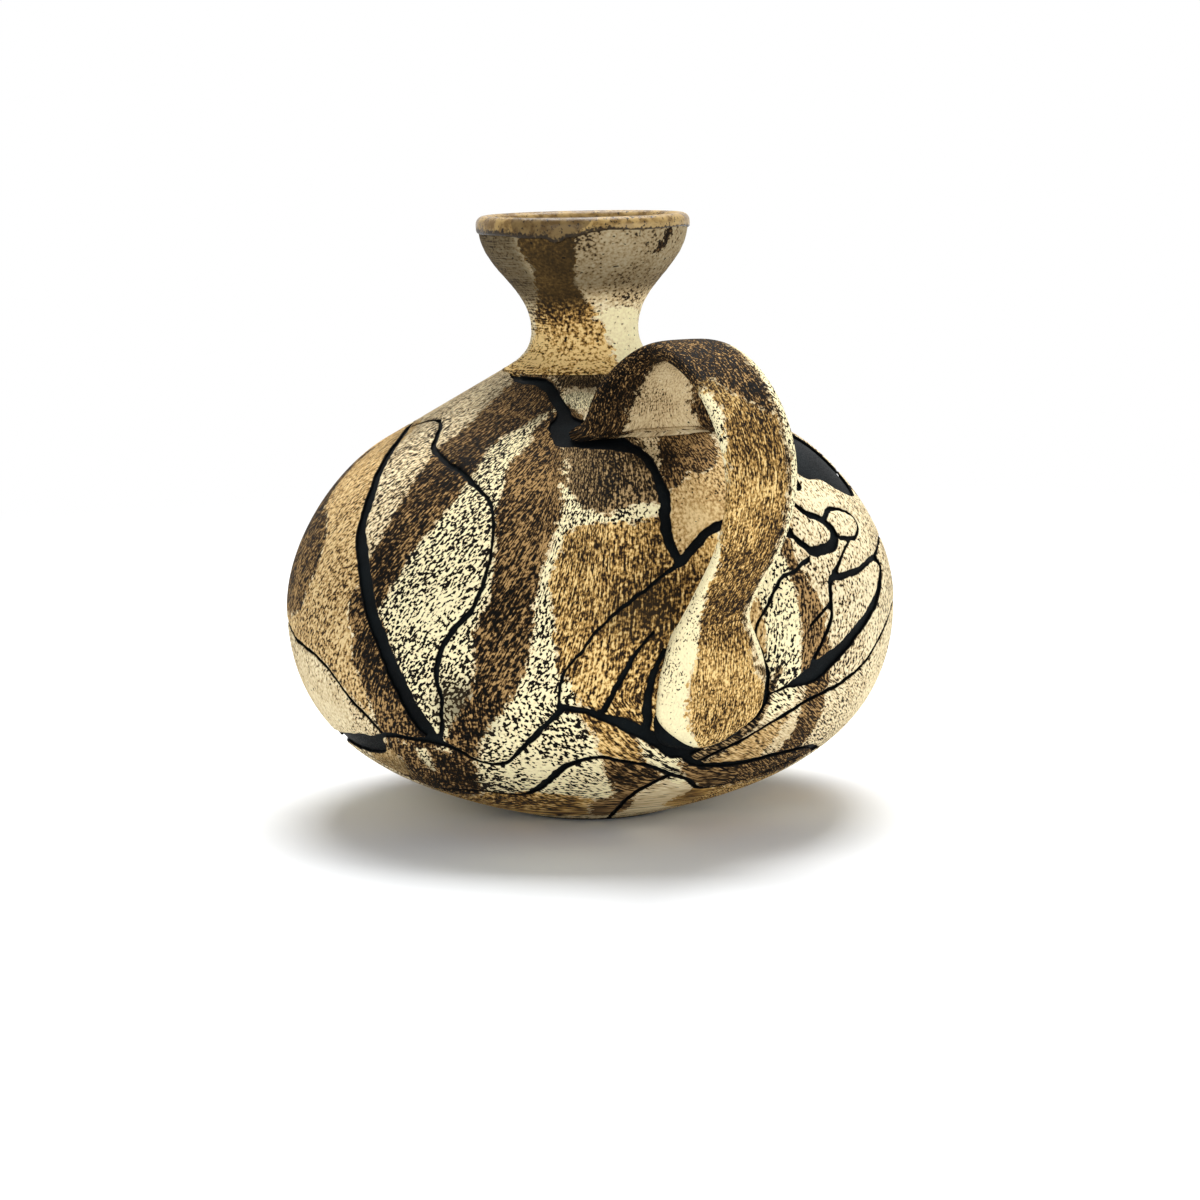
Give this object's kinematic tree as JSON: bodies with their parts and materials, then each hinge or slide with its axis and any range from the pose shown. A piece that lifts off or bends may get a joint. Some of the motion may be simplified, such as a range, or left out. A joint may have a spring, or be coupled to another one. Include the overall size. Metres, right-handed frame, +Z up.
{
  "type": "handled vase",
  "caption": "Round-bellied stoneware vase with a narrow neck, a flared cup mouth and one strap handle; its marbled clay skin is torn by cracks over a black clay wall.",
  "frame": {"origin": "middle of the flat foot, on the axis of the neck, at the surface the vase stands on", "axes": "+Z up along the neck; -Y to the front; the handle stands at the front right, 25 degrees from -Y towards +X"},
  "size_m": [0.24, 0.2608, 0.2348],
  "materials": {
    "black_clay": "smooth unglazed black clay",
    "marbled_pale": "unglazed pale clay with black specks",
    "marbled_buff": "unglazed buff clay, marbled",
    "marbled_brown": "unglazed brown clay, marbled",
    "marbled_ochre": "unglazed ochre clay, stretched and speckled",
    "marbled_neck": "unglazed marbled clay with throwing lines",
    "brown_glaze": "glossy brown glaze"
  },
  "bodies": {
    "root": {"black_wall": "black_clay", "belly_glaze": "brown_glaze", "neck_slip_ring": "black_clay", "neck": "marbled_neck", "mouth_glaze": "brown_glaze", "handle_strap": "marbled_ochre", "handle_root_slip": "black_clay", "handle_pad_slip": "black_clay", "skin_front": "marbled_brown", "skin_front_low": "marbled_pale", "skin_left_strip": "marbled_pale", "skin_left": "marbled_buff", "skin_left_low": "marbled_buff", "skin_under_handle": "marbled_ochre", "skin_right_shoulder": "marbled_brown", "skin_right": "marbled_pale", "skin_right_strip": "marbled_buff", "skin_right_low": "marbled_buff", "skin_tear_island": "marbled_pale", "skin_chip_left": "marbled_pale", "skin_chip_right": "marbled_pale", "skin_back": "marbled_buff", "skin_bottom_front": "marbled_brown", "skin_bottom_chip": "marbled_pale", "skin_bottom_left": "marbled_buff", "skin_bottom_right": "marbled_brown"}
  },
  "joints": []
}
